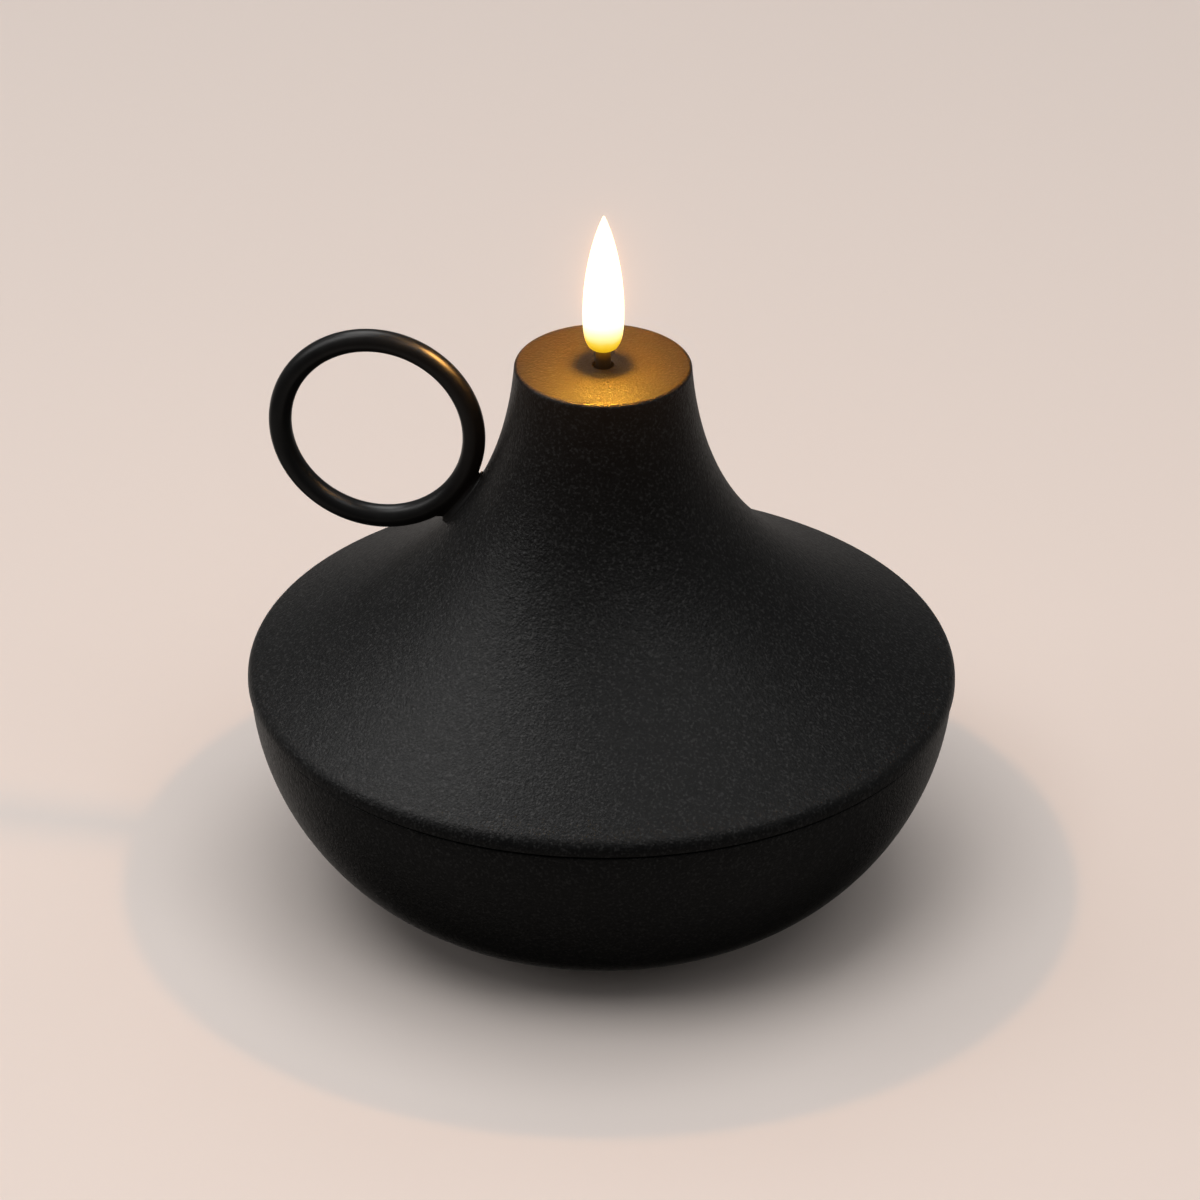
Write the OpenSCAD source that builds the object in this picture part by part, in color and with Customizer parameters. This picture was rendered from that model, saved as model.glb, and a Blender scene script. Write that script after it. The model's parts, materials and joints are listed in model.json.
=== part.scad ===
// Battery table lamp shaped like an old oil lamp: a flared metal top on a shallow bowl,
// a ring handle, and a flame-shaped light on a short black stem.
// Frame: origin on the table under the axis, +Z up, the ring handle towards -X.
// All lengths are in millimetres.

/* [Body] */
// Diameter over the rim, the widest place
body_d = 180; // [178:0.5:182]
// Height of the flat top above the table
top_z = 150; // [149:0.25:151]
// Diameter of the flat top
top_d = 44.6; // [44:0.2:46]
// Height of the seam between the flared top and the bowl
seam_z = 60.2; // [59.8:0.1:60.6]
// Sheet thickness of the flared top and the bowl
wall = 1.2; // [1:0.05:1.3]
// Outer radius of the rounded rim
rim_round = 4; // [3.5:0.1:4.5]
// Diameter of the hole that the stem stands in
wick_hole_d = 5.4; // [5:0.1:6]

/* [Handle] */
// Centre-line diameter of the ring
ring_d = 50; // [49:0.1:50.2]
// Diameter of the rod that the ring is bent from
rod_d = 5.8; // [5.4:0.1:5.9]
// Distance from the lamp's axis to the centre of the ring
ring_x = 58; // [57.9:0.1:59]
// Height of the centre of the ring
ring_z = 125.4; // [125.2:0.1:126]

/* [Flame] */
// Height of the gap between the flat top and the flame
flame_gap = 4; // [3.5:0.1:5]
// Length of the flame
flame_len = 37.5; // [35:0.5:40]
// Largest diameter of the flame
flame_d = 10.4; // [10:0.1:11]
// Outer diameter of the stem
stem_d = 3.9; // [3.6:0.1:4]

/* [Battery and switch] */
// Diameter of one cell
cell_d = 26.2; // [25:0.1:26.4]
// Length of one cell with its contact
cell_len = 50; // [49:0.5:50]
// Travel of the switch from the middle to each end
switch_travel = 2; // [1:0.1:2]
// Diameter of the rubber feet
foot_d = 7; // [6:0.5:7]

/* [Hidden] */
$fn = 64;
eps = 0.01;
R = body_d / 2;
top_r = top_d / 2;
top_round = 1.1;

// ---------- curves ----------
function unit(v) = v / norm(v);
// a point on a cubic curve with four control points, and its direction
function bz(p, t) = pow(1 - t, 3) * p[0] + 3 * pow(1 - t, 2) * t * p[1] + 3 * (1 - t) * t * t * p[2] + pow(t, 3) * p[3];
function bz_dir(p, t) = unit(pow(1 - t, 2) * (p[1] - p[0]) + 2 * (1 - t) * t * (p[2] - p[1]) + t * t * (p[3] - p[2]));
// the same point moved sideways by d, to the left of the direction of travel
function bz_off(p, t, d) = bz(p, t) + d * [-bz_dir(p, t)[1], bz_dir(p, t)[0]];
function arc(c, r, a, b, n) = [for (i = [0:n]) c + r * [cos(a + (b - a) * i / n), sin(a + (b - a) * i / n)]];
// outline of the flare, from the edge of the flat top down to the rim
flare = [[top_r, top_z - top_round], [top_r + 3.8, top_z - 46.8], [R - 38.4, seam_z + 26.3], [R - 4.86, seam_z + 6.5]];
flare_end = flare[3] - flare[2];
rim_a = atan2(flare_end[0], -flare_end[1]);
rim_start_r = R - rim_round + rim_round * cos(rim_a);
rim_start_z = flare[3][1] + (rim_start_r - flare[3][0]) * flare_end[1] / flare_end[0];
rim_zc = rim_start_z - rim_round * sin(rim_a);
shell_edge_z = seam_z + 0.3;
// outline of the bowl: radius at height z
bowl_r0 = R - 0.7;
bowl_depth = 63.5;
function bowl_s(z) = (seam_z - z) / bowl_depth;
function bowl_r(z) = bowl_r0 * pow(1 - pow(bowl_s(z), 1.77), 1 / 2.9);
function bowl_dir(z) = unit([bowl_r(z + 0.05) - bowl_r(z - 0.05), 0.1]);
function bowl_in(z) = [bowl_r(z), z] + wall * [-bowl_dir(z)[1], bowl_dir(z)[0]];
foot_z = 1.2;
recess_r = 41.2;
open_r = 37.5;
lip_r = R - 2.5;
bowl_steps = 34;
function bowl_z(i) = foot_z + (seam_z - 0.3 - foot_z) * (1 - cos(90 * i / bowl_steps));

// ---------- swept round wire: p = centre line, r = radius, k = sides ----------
function cr(a, b, c, d, t) = 0.5 * (2 * b + (c - a) * t + (2 * a - 5 * b + 4 * c - d) * t * t + (3 * b - a - 3 * c + d) * t * t * t);
function smooth_line(p, n) = [for (i = [0:len(p) - 2]) for (j = [0:n - 1])
  cr(p[max(i - 1, 0)], p[i], p[i + 1], p[min(i + 2, len(p) - 1)], j / n), p[len(p) - 1]];
function dirs(p) = [for (i = [0:len(p) - 1]) unit(p[min(i + 1, len(p) - 1)] - p[max(i - 1, 0)])];
function flat_to(n, t) = unit(n - (n * t) * t);
function normals(t, n0) = [for (i = 0, n = flat_to(n0, t[0]); i < len(t); i = i + 1, n = i < len(t) ? flat_to(n, t[i]) : n) n];
module swept(p, r, k, n0) {
  t = dirs(p);
  n = normals(t, n0);
  m = len(p);
  pts = [for (i = [0:m - 1]) for (j = [0:k - 1]) p[i] + r * (cos(360 * j / k) * n[i] + sin(360 * j / k) * cross(t[i], n[i]))];
  polyhedron(points = pts, faces = concat(
    [[for (j = [0:k - 1]) j]],
    [for (i = [0:m - 2]) for (j = [0:k - 1]) [i * k + j, (i + 1) * k + j, (i + 1) * k + (j + 1) % k, i * k + (j + 1) % k]],
    [[for (j = [k - 1:-1:0]) (m - 1) * k + j]]), convexity = 6);
}

// ---------- casing ----------
module shell_outline() {
  polygon(concat(
    [[wick_hole_d / 2, top_z]],
    arc([top_r - top_round, top_z - top_round], top_round, 90, 0, 6),
    [for (i = [1:44]) bz(flare, i / 44)],
    arc([R - rim_round, rim_zc], rim_round, rim_a, 0, 8),
    [[R, shell_edge_z + 0.4], [R - 0.4, shell_edge_z], [R - wall, shell_edge_z]],
    arc([R - rim_round, rim_zc], rim_round - wall, 0, rim_a, 6),
    [for (i = [30:-1:1]) bz_off(flare, i / 30, -wall)],
    [[top_r - wall - 0.3, top_z - wall], [wick_hole_d / 2, top_z - wall]]));
}
// the flare as a filled block, used to fit the saddle to it
module flare_block() {
  rotate_extrude($fn = 360) polygon(concat([[0, seam_z]], [[0, top_z - top_round]], [for (i = [0:44]) bz(flare, i / 44)], [[R - 4.86, seam_z]]));
}
module upper_shell() {
  color([0.12, 0.12, 0.12]) difference() {
    rotate_extrude($fn = 128) shell_outline();
    on_joint() translate([0, 0, 27]) cylinder(r = 1.7, h = 6);
  }
}
module lower_bowl() {
  color([0.1, 0.1, 0.1]) rotate_extrude($fn = 128) polygon(concat(
    [[recess_r, foot_z]],
    [for (i = [0:bowl_steps]) [bowl_r(bowl_z(i)), bowl_z(i)]],
    [[lip_r, seam_z - 0.3], [lip_r, seam_z + 3], [lip_r - wall, seam_z + 3], [lip_r - wall, seam_z - 1.6]],
    [for (i = [bowl_steps - 2:-1:3]) bowl_in(bowl_z(i))],
    [[recess_r + 2.2, foot_z + 1.6], [recess_r + 1.2, 4.7], [open_r, 4.7], [open_r, 3.5], [recess_r, 3.5]]));
}
module rim_gasket() {
  color([0.05, 0.05, 0.05]) rotate_extrude($fn = 128) polygon([[lip_r + 0.05, seam_z - 0.27], [R - 1.5, seam_z - 0.27], [R - 1.5, seam_z + 0.26],
    [R - 1.5, seam_z + 0.32], [R - 1.6, seam_z + 2.6], [lip_r + 0.05, seam_z + 2.6]]);
}

// ---------- handle ----------
// places children on the line from the ring's centre to the flare, +Z towards the flare
joint_a = 28.7;
module on_joint() { translate([-ring_x, 0, ring_z]) rotate([0, 90 + joint_a, 0]) children(); }
module ring_solid(n, m, gap) { translate([-ring_x, 0, ring_z]) rotate([90, 0, 0]) rotate_extrude($fn = n) translate([ring_d / 2, 0]) circle(d = rod_d + 2 * gap, $fn = m); }
module ring_handle() {
  color([0.06, 0.06, 0.06]) difference() {
    ring_solid(128, 48, 0);
    on_joint() translate([0, 0, ring_d / 2]) cylinder(r = 1.5, h = 6, $fn = 32);
  }
}
module handle_saddle() {
  color([0.06, 0.06, 0.06]) difference() {
    on_joint() translate([0, 0, ring_d / 2 + 1]) intersection() {
      translate([-7.5, -2.4, 0]) cube([15, 4.8, 5]);
      cylinder(r = 7.5, h = 5, $fn = 128);
    }
    ring_solid(360, 128, 0.02);
    flare_block();
    on_joint() translate([0, 0, 24]) cylinder(r = 1.6, h = 8, $fn = 32);
  }
}
module screw(r, head_r, head_h, len) {
  // head below z = 0, shank above, cross recess in the head
  difference() {
    union() {
      translate([0, 0, -head_h]) rotate_extrude($fn = 32) polygon([[0, 0], [head_r - 0.5, 0], [head_r, 0.5], [head_r, head_h], [0, head_h]]);
      translate([0, 0, -eps]) cylinder(r = r, h = len - 0.5 + eps, $fn = 32);
      translate([0, 0, len - 0.5]) cylinder(r1 = r, r2 = r - 0.4, h = 0.5, $fn = 32);
    }
    for (a = [0, 90]) rotate(a) translate([-head_r * 0.62, -0.35, -head_h - eps]) cube([head_r * 1.24, 0.7, head_h * 0.55]);
  }
}
module handle_screw() {
  color([0.6, 0.6, 0.62]) on_joint() translate([0, 0, 31.2]) mirror([0, 0, 1]) screw(1.45, 2.7, 1.9, 5.6);
}
module handle_washer() {
  color([0.7, 0.7, 0.72]) on_joint() translate([0, 0, 30.3]) difference() {
    cylinder(r = 3.4, h = 0.85, $fn = 48);
    translate([0, 0, -1]) cylinder(r = 1.6, h = 3, $fn = 32);
  }
}

// ---------- flame and stem ----------
fz = top_z + flame_gap;
fr = flame_d / 2;
flame_low = [[stem_d / 2 + 0.04, 0], [fr - 0.7, 0.2], [fr, 4.6], [fr, 10]];
flame_high = [[fr, 10], [fr, 20], [fr * 0.63, flame_len - 7.4], [0.25, flame_len - 0.2]];
flame_in_low = [[stem_d / 2 + 0.04, 2.6], [fr - 1.4, 3], [fr - 0.8, 6], [fr - 0.8, 10]];
flame_in_high = [[fr - 0.8, 10], [fr - 0.8, 19], [fr * 0.48, flame_len - 9], [0, flame_len - 2.6]];
module flame_lens() {
  color([1, 0.85, 0.5]) translate([0, 0, fz]) rotate_extrude($fn = 64) polygon(concat(
    [for (i = [0:12]) bz(flame_low, i / 12)],
    [for (i = [1:26]) bz(flame_high, i / 26)],
    [[0, flame_len]],
    [for (i = [18:-1:0]) bz(flame_in_high, i / 18)],
    [for (i = [9:-1:0]) bz(flame_in_low, i / 10)]));
}
module flame_led() {
  color([1, 0.95, 0.7]) {
    translate([0, 0, fz - 0.6]) rotate_extrude($fn = 32) polygon(concat([[0, 0], [1.42, 0]], arc([0, 4.6], 1.42, 0, 90, 8)));
    for (s = [-1, 1]) translate([s * 0.62, 0, fz - 2.6]) cylinder(r = 0.25, h = 2.1, $fn = 16);
  }
}
module wick_tube() {
  color([0.05, 0.05, 0.05]) difference() {
    translate([0, 0, 139.2]) cylinder(d = stem_d, h = fz + 2.3 - 139.2, $fn = 48);
    translate([0, 0, 139]) cylinder(r = 1.46, h = 30, $fn = 48);
  }
}

// ---------- inner frame ----------
roof_z = 65.5;
col_z = roof_z + 2;
tie_y = 11.5;
module neck_bracket() {
  color([0.55, 0.55, 0.57]) difference() {
    rotate_extrude($fn = 96) polygon([[5.5, 137], [16.2, 137], [16.2, top_z - wall - 1.2], [19.8, top_z - wall - 1.2], [19.8, top_z - wall],
      [15, top_z - wall], [15, 138.2], [5.5, 138.2]]);
    for (s = [-1, 1]) translate([s * 10, 0, 136]) cylinder(r = 1.5, h = 4, $fn = 32);
  }
}
module column_screws() {
  color([0.6, 0.6, 0.62]) for (s = [-1, 1]) translate([s * 10, 0, 134]) screw(1.45, 2.75, 2, 8);
}
module core_column() {
  color([0.2, 0.2, 0.2]) difference() {
    union() {
      translate([-5.5, -tie_y, col_z]) cube([11, 2 * tie_y, 3]);
      for (s = [-1, 1]) translate([0, s * tie_y, col_z]) { cylinder(r = 5.5, h = 3, $fn = 48); cylinder(r = 4, h = 14.5, $fn = 48); }
      translate([0, 0, col_z]) cylinder(r = 6.5, h = 136 - col_z);
      translate([0, 0, 134]) cylinder(r = 14, h = 3);
      translate([0, 0, 136]) cylinder(r = 5, h = 11, $fn = 48);
      // gusset webs between the tube, the bosses and the top flange
      translate([-1, -tie_y, col_z]) cube([2, 2 * tie_y, 12]);
      for (a = [45, 135]) rotate(a) translate([-11, -1, 128]) cube([22, 2, 7]);
    }
    translate([0, 0, col_z - 1]) cylinder(r = 3.2, h = 139 - col_z + 1, $fn = 48);
    translate([0, 0, 138]) cylinder(d = stem_d + 0.1, h = 12, $fn = 48);
    for (s = [-1, 1]) translate([0, s * tie_y, col_z - 1]) cylinder(r = 1.55, h = 14.5, $fn = 32);
    for (s = [-1, 1]) translate([s * 10, 0, 133]) cylinder(r = 1.6, h = 5, $fn = 32);
    translate([0, -2.6, 71.5]) cube([8, 5.2, 8]);
  }
}
module tie_screws() {
  color([0.6, 0.6, 0.62]) for (s = [-1, 1]) translate([0, s * tie_y, roof_z]) screw(1.5, 2.75, 2.2, 13);
}

// ---------- base and battery compartment ----------
cell_x = 13.9;
bore_r = 27.25;
step_z = 10.4;
ear_r = 34;
ear_a = [90, 210, 330];
sw_x = 34.6;
post = [[33, 11], [33, -11]];
module battery_housing() {
  color([0.15, 0.15, 0.15]) difference() {
    union() {
      translate([0, 0, 3.6]) cylinder(r = 29.4, h = roof_z + 2 - 3.6, $fn = 96);
      translate([0, 0, 3.6]) cylinder(r = 30.8, h = 2.4, $fn = 96);
      for (a = ear_a) rotate(a) {
        translate([28.4, -3, 7.4]) cube([ear_r - 28.4, 6, 2]);
        translate([ear_r, 0, 7.4]) cylinder(r = 3, h = 2, $fn = 32);
        translate([28.4, -0.8, 9.4]) cube([2.2, 1.6, 8]);
      }
    }
    translate([0, 0, 3]) cylinder(r = bore_r, h = step_z - 3, $fn = 96);
    for (s = [-1, 1]) translate([s * cell_x, 0, step_z - eps]) cylinder(r = 13.5, h = roof_z - step_z + eps, $fn = 64);
    for (s = [-1, 1]) translate([0, s * tie_y, step_z - eps]) cylinder(r = 3.1, h = roof_z - step_z + eps, $fn = 32);
    for (s = [-1, 1]) translate([0, s * tie_y, roof_z - 1]) cylinder(r = 1.7, h = 4, $fn = 32);
    for (s = [-1, 1]) translate([s * cell_x - 1.7, -0.45, roof_z - 1]) cube([3.4, 0.9, 4]);
    for (a = ear_a) rotate(a) translate([ear_r, 0, 7]) cylinder(r = 1.45, h = 3, $fn = 32);
  }
}
module base_plate() {
  color([0.13, 0.13, 0.13]) difference() {
    union() {
      translate([0, 0, 1.5]) rotate_extrude($fn = 128) polygon([[28.3, 0], [40.4, 0], [40.8, 0.4], [40.8, 2], [28.3, 2]]);
      for (a = ear_a) rotate(a) translate([ear_r, 0, 3]) cylinder(r = 3, h = 4.4, $fn = 32);
      for (p = post) translate([p[0], p[1], 3]) cylinder(r = 1.9, h = 6.4, $fn = 32);
    }
    translate([sw_x - 1.8, -switch_travel - 2.6, 1]) cube([3.6, 2 * switch_travel + 5.2, 3]);
    for (a = ear_a) rotate(a) translate([ear_r, 0, 2.6]) cylinder(r = 1.2, h = 6, $fn = 32);
    for (p = post) translate([p[0], p[1], 3.6]) cylinder(r = 0.95, h = 6.4, $fn = 32);
  }
}
module housing_screws() {
  color([0.6, 0.6, 0.62]) for (a = ear_a) rotate(a) translate([ear_r, 0, 9.4]) rotate([180, 0, 0]) screw(1.15, 2.3, 1.7, 6);
}
module rubber_feet() {
  color([0.08, 0.08, 0.08]) for (a = [45:90:315]) rotate(a) translate([36.6, 0, 0]) rotate_extrude($fn = 48)
    polygon([[0, 0], [foot_d / 2 - 0.4, 0], [foot_d / 2, 0.4], [foot_d / 2, 1.5], [0, 1.5]]);
}
module battery_cap() {
  color([0.16, 0.16, 0.16]) difference() {
    union() {
      translate([0, 0, 1.7]) rotate_extrude($fn = 128) polygon([[0, 0], [27.4, 0], [27.9, 0.5], [27.9, 1.6], [26.9, 1.6], [26.9, 7.3], [24.2, 7.3], [24.2, 2.6], [0, 2.6]]);
      translate([-16, -4, 4]) cube([32, 8, 5.9]);
      for (a = [45, 135]) rotate(a) translate([-24.4, -0.8, 4]) cube([48.8, 1.6, 3]);
    }
    translate([-11, -1.25, 1.5]) cube([22, 2.5, 1.8]);
    translate([0, 0, 1.5]) cylinder(r = 3.4, h = 1.4, $fn = 32);
  }
}
module bridge_plate() {
  color([0.75, 0.74, 0.7]) translate([0, 0, 9.9]) linear_extrude(0.4) union() {
    translate([-cell_x, -3]) square([2 * cell_x, 6]);
    for (s = [-1, 1]) translate([s * cell_x, 0]) circle(r = 6);
  }
}
module cap_seal() {
  color([0.05, 0.05, 0.05]) translate([0, 0, 9.05]) difference() {
    cylinder(r = 26.8, h = 1.25, $fn = 96);
    translate([0, 0, -1]) cylinder(r = 24.3, h = 4, $fn = 96);
  }
}
cell_z = 10.5;
module cell() {
  rotate_extrude($fn = 64) polygon([[0, 0], [cell_d / 2 - 1, 0], [cell_d / 2, 0.6], [cell_d / 2, cell_len - 2.6], [cell_d / 2 - 1.2, cell_len - 1.6],
    [3.3, cell_len - 1.6], [3.3, cell_len - 0.3], [3, cell_len], [0, cell_len]]);
}
module battery_cells() {
  color([0.55, 0.55, 0.5]) {
    translate([cell_x, 0, cell_z]) cell();
    translate([-cell_x, 0, cell_z + cell_len]) mirror([0, 0, 1]) cell();
  }
}
spring_low = cell_z + cell_len + 0.45;
spring_high = roof_z - 1.05;
module contact_springs() {
  color([0.8, 0.8, 0.8]) for (s = [-1, 1]) translate([s * cell_x, 0, 0]) swept(
    [for (i = [0:49]) let (u = i / 49, a = 1260 * u, r = 5.4 - 3 * u) [r * cos(a), r * sin(a), spring_high - (spring_high - spring_low) * u]], 0.4, 6, [1, 0, 0]);
}
module contact_plates() {
  color([0.8, 0.78, 0.7]) for (s = [-1, 1]) translate([s * cell_x, 0, roof_z - 0.6]) {
    cylinder(r = 6.4, h = 0.5, $fn = 48);
    translate([-1.5, -0.25, 0.3]) cube([3, 0.5, 4.2]);
  }
}

// ---------- board and switch ----------
board_z = 9.4;
module control_board() {
  color([0.05, 0.3, 0.12]) difference() {
    translate([30.9, -15, board_z]) cube([19, 30, 1.6]);
    for (p = post) translate([p[0], p[1], board_z - 1]) cylinder(r = 1.15, h = 4, $fn = 32);
    for (y = [-2.5, 0, 2.5]) translate([sw_x, y, board_z - 1]) cylinder(r = 0.5, h = 4, $fn = 24);
    translate([0, 0, board_z - 1]) cylinder(r = 31.2, h = 4, $fn = 96);
  }
}
module timer_chip() {
  color([0.1, 0.1, 0.1]) translate([43.5, 0, board_z + 1.6]) {
    translate([-2, -2.5, 0.15]) cube([4, 5, 1.4]);
    for (s = [-1, 1], y = [-1.9, -0.65, 0.65, 1.9]) translate([s * 2.45 - 0.55, y - 0.2, 0]) cube([1.1, 0.4, 0.7]);
  }
}
module board_parts() {
  z = board_z + 1.6;
  color([0.3, 0.25, 0.2]) {
    translate([44.5, 9.5, z]) cylinder(r = 2.5, h = 5.2, $fn = 32);
    translate([38.4, 7.7, z]) cube([1.6, 3.2, 0.6]);
    translate([46.4, -8, z]) cube([1.6, 3.2, 0.6]);
    translate([42.5, -11.5, z]) cube([3, 3, 1.8]);
  }
}
module board_screws() {
  color([0.6, 0.6, 0.62]) for (p = post) translate([p[0], p[1], board_z + 1.6]) rotate([180, 0, 0]) screw(0.9, 1.8, 1.3, 5.5);
}
module switch_body() {
  color([0.7, 0.7, 0.72]) difference() {
    union() {
      translate([sw_x - 2.2, -4.6, 5.6]) cube([4.4, 9.2, board_z - 5.6]);
      for (y = [-2.5, 0, 2.5]) translate([sw_x, y, board_z - 0.5]) cylinder(r = 0.35, h = 2.9, $fn = 16);
    }
    translate([sw_x - 1.1, -switch_travel - 1.4, 5]) cube([2.2, 2 * switch_travel + 2.8, 2.2]);
  }
}
module switch_slider() {
  color([0.85, 0.85, 0.85]) union() {
    translate([sw_x - 1.45, -2.2, 1.9]) cube([2.9, 4.4, 3]);
    translate([sw_x - 0.8, -1, 4.5]) cube([1.6, 2, 2.4]);
    for (y = [-1.8, -0.3, 1.2]) translate([sw_x - 1.45, y, 1.3]) cube([2.9, 0.6, 0.8]);
  }
}

// ---------- wires, each held all the way ----------
wire_r = 0.55;
led_red_way = [[0.62, 0, fz - 2.7], [0.62, 0, 120], [0.62, 0, 90], [1.6, 0.8, 80], [5, 1.1, 75.6], [12, 1.4, 72], [20, 1.8, 70],
  [28, 2.2, 69.6], [30.9, 2.4, 68.3], [31.3, 2.6, 62], [31.2, 2.8, 50], [31.2, 3.2, 30], [32, 4, 17], [36, 5, 14.7], [37.5, 5, 12.6], [37.5, 5, 11.15]];
led_black_way = [[-0.62, 0, fz - 2.7], [-0.62, 0, 120], [-0.6, -0.1, 90], [1.2, -0.9, 80], [5, -1.1, 75.6], [12, -1.0, 72], [20, -0.6, 70],
  [28, -0.2, 69.6], [30.9, 0, 68.3], [31.3, 0.2, 62], [31.2, 0.4, 50], [31.2, 0.6, 30], [32, 1, 17], [36, 1.4, 14.7], [37.5, 1.4, 12.6], [37.5, 1.4, 11.15]];
battery_red_way = [[15.9, 0, 69], [19, -2.5, 69.2], [25, -5.5, 69.2], [28.2, -6.8, 69.1], [30.4, -7.6, 67.6], [30.7, -7.8, 58], [30.7, -7.8, 30], [31.8, -7.6, 17],
  [36, -7, 14.7], [37.5, -7, 12.6], [37.5, -7, 11.15]];
battery_black_way = [[-15.9, 0, 69], [-16, -5, 68.6], [-11, -15, 68.4], [-3, -19.5, 68.4], [8, -19, 68.4], [19, -15, 68.5], [26, -13.4, 68.9],
  [28.5, -12.9, 67.8], [29, -12.6, 62], [29, -12.5, 50], [29, -12.5, 30], [30.6, -12.2, 17], [36.4, -11.4, 14.9], [38.6, -11, 12.8], [38.6, -11, 11.15]];
module led_wire_red() { color([0.6, 0.05, 0.05]) swept(smooth_line(led_red_way, 3), wire_r, 6, [0, 1, 0]); }
module led_wire_black() { color([0.08, 0.08, 0.08]) swept(smooth_line(led_black_way, 3), wire_r, 6, [0, 1, 0]); }
module battery_wire_red() { color([0.6, 0.05, 0.05]) swept(smooth_line(battery_red_way, 3), wire_r, 6, [0, 0, 1]); }
module battery_wire_black() { color([0.08, 0.08, 0.08]) swept(smooth_line(battery_black_way, 3), wire_r, 6, [0, 0, 1]); }

upper_shell();
lower_bowl();
rim_gasket();
ring_handle();
handle_saddle();
handle_screw();
handle_washer();
flame_lens();
flame_led();
wick_tube();
neck_bracket();
column_screws();
core_column();
tie_screws();
battery_housing();
housing_screws();
base_plate();
rubber_feet();
battery_cap();
bridge_plate();
cap_seal();
battery_cells();
contact_springs();
contact_plates();
control_board();
timer_chip();
board_parts();
board_screws();
switch_body();
switch_slider();
led_wire_red();
led_wire_black();
battery_wire_red();
battery_wire_black();
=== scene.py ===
import json
import math

import bmesh
import bpy
from mathutils import Matrix, Vector


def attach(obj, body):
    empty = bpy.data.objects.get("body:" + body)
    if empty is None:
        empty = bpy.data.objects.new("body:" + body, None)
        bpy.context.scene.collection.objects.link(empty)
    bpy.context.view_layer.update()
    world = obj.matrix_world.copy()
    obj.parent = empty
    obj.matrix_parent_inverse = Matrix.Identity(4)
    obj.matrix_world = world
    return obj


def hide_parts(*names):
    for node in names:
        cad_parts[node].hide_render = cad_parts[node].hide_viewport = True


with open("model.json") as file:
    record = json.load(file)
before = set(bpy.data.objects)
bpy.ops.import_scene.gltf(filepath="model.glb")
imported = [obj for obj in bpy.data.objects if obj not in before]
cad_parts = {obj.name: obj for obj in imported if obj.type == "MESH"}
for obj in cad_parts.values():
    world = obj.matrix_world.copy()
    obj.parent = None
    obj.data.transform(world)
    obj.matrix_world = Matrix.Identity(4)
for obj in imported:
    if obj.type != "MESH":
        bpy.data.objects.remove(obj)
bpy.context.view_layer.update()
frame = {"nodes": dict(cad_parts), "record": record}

NODES = frame["nodes"]
scene = bpy.context.scene


# ---------------------------------------------------------------- numbers, in millimetres
R = 90.0                      # rim
TOP_Z, TOP_R, TOP_ROUND = 150.0, 22.3, 1.1
SEAM_Z = 60.2
WALL = 1.2
RIM_ROUND = 4.0
HOLE_R = 2.7
RING_R, ROD_R, RING_X, RING_Z, JOINT_A = 25.0, 2.9, 58.0, 125.4, 28.7
FLAME_Z = 154.0
FLARE = [(TOP_R, TOP_Z - TOP_ROUND), (TOP_R + 3.8, TOP_Z - 46.8), (R - 38.4, SEAM_Z + 26.3), (R - 4.86, SEAM_Z + 6.5)]


# ---------------------------------------------------------------- small geometry helpers
def add(a, b, k=1.0):
    return (a[0] + b[0] * k, a[1] + b[1] * k)


def unit(v):
    n = math.hypot(*v)
    return (v[0] / n, v[1] / n)


def bez(p, t):
    k = ((1 - t) ** 3, 3 * (1 - t) ** 2 * t, 3 * (1 - t) * t * t, t ** 3)
    return (sum(k[i] * p[i][0] for i in range(4)), sum(k[i] * p[i][1] for i in range(4)))


def bez_dir(p, t):
    k = ((1 - t) ** 2, 2 * (1 - t) * t, t * t)
    return unit((sum(k[i] * (p[i + 1][0] - p[i][0]) for i in range(3)), sum(k[i] * (p[i + 1][1] - p[i][1]) for i in range(3))))


def bez_off(p, t, d):
    q, v = bez(p, t), bez_dir(p, t)
    return (q[0] - d * v[1], q[1] + d * v[0])


def arc(c, r, a, b, n):
    return [(c[0] + r * math.cos(math.radians(a + (b - a) * i / n)), c[1] + r * math.sin(math.radians(a + (b - a) * i / n))) for i in range(n + 1)]


def rounded(points):
    """points are (x, y) or (x, y, radius); corners with a radius become arcs of short edges"""
    out, n = [], len(points)
    for i, p in enumerate(points):
        if len(p) < 3 or p[2] <= 0:
            out.append((p[0], p[1]))
            continue
        a, b = points[i - 1], points[(i + 1) % n]
        da, db = unit((a[0] - p[0], a[1] - p[1])), unit((b[0] - p[0], b[1] - p[1]))
        cosang = max(-1.0, min(1.0, da[0] * db[0] + da[1] * db[1]))
        ang = math.acos(cosang)
        if ang > math.pi - 0.02:
            out.append((p[0], p[1]))
            continue
        cut = p[2] / math.tan(ang / 2)
        m = unit((da[0] + db[0], da[1] + db[1]))
        c = (p[0] + m[0] * p[2] / math.sin(ang / 2), p[1] + m[1] * p[2] / math.sin(ang / 2))
        s, e = (p[0] + da[0] * cut, p[1] + da[1] * cut), (p[0] + db[0] * cut, p[1] + db[1] * cut)
        a0, a1 = math.atan2(s[1] - c[1], s[0] - c[0]), math.atan2(e[1] - c[1], e[0] - c[0])
        while a1 - a0 > math.pi:
            a1 -= 2 * math.pi
        while a1 - a0 < -math.pi:
            a1 += 2 * math.pi
        k = max(3, int(math.degrees(abs(a1 - a0)) / 15))
        out += [(c[0] + p[2] * math.cos(a0 + (a1 - a0) * j / k), c[1] + p[2] * math.sin(a0 + (a1 - a0) * j / k)) for j in range(k + 1)]
    return out


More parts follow.
